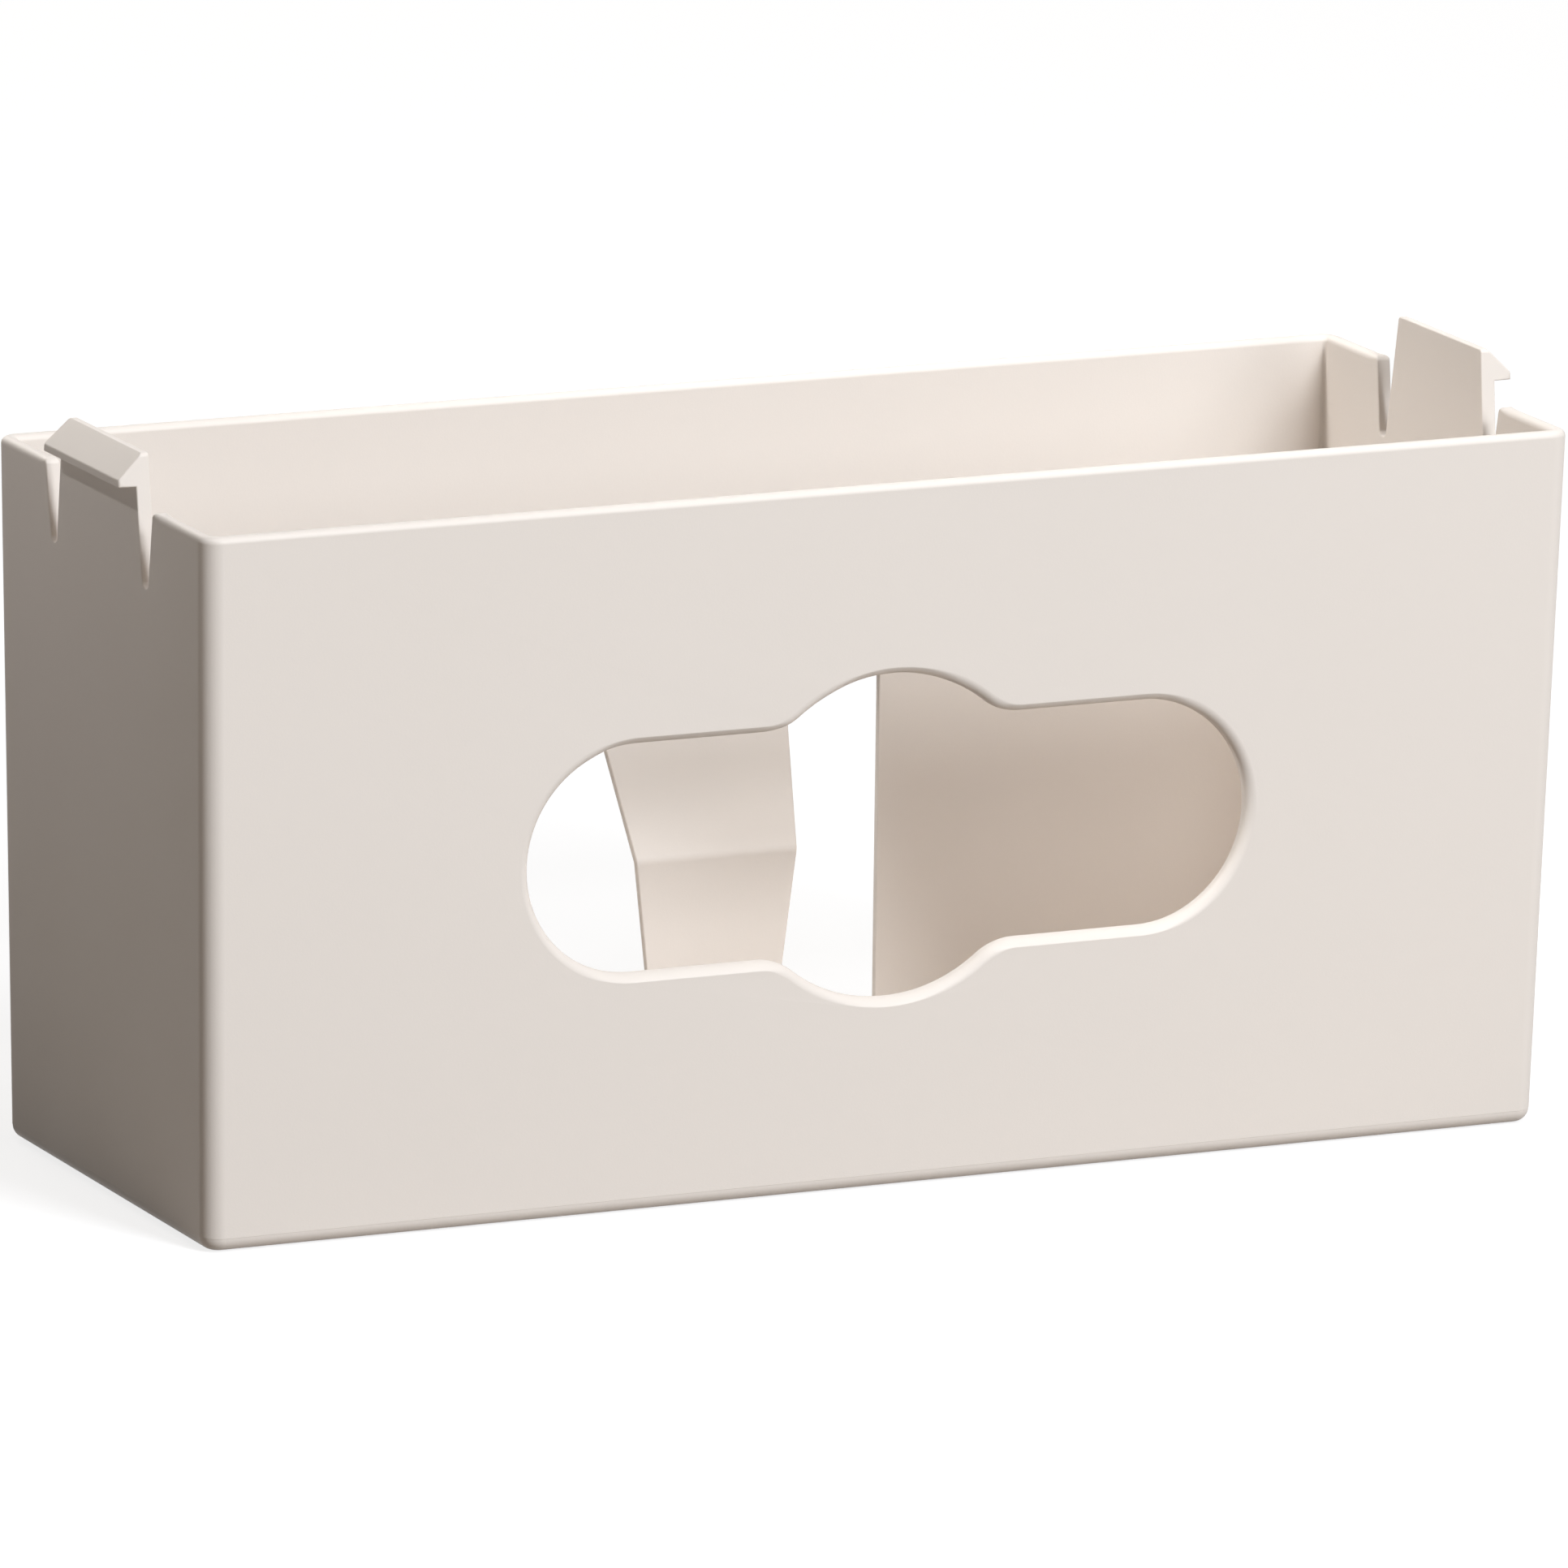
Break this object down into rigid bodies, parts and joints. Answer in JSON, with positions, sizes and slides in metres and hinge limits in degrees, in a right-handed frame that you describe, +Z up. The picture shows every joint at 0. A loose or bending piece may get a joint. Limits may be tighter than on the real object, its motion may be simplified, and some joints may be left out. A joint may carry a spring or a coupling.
{
  "type": "disposable glove dispenser",
  "caption": "Open-topped moulded bin that holds a box of disposable gloves, with a front dispensing opening, end snap tabs and a spring tongue at the back.",
  "frame": {"origin": "middle of the underside, on the surface that the bin stands on", "axes": "+X along the bin's length, +Y from the front wall with the dispensing opening to the back wall with the spring tongue, +Z up to the open top"},
  "size_m": [0.2666, 0.0924, 0.1338],
  "materials": {
    "body_plastic": "satin off-white moulded plastic with a very fine grain"
  },
  "bodies": {
    "root": {"dispenser_body": "body_plastic"}
  },
  "joints": []
}
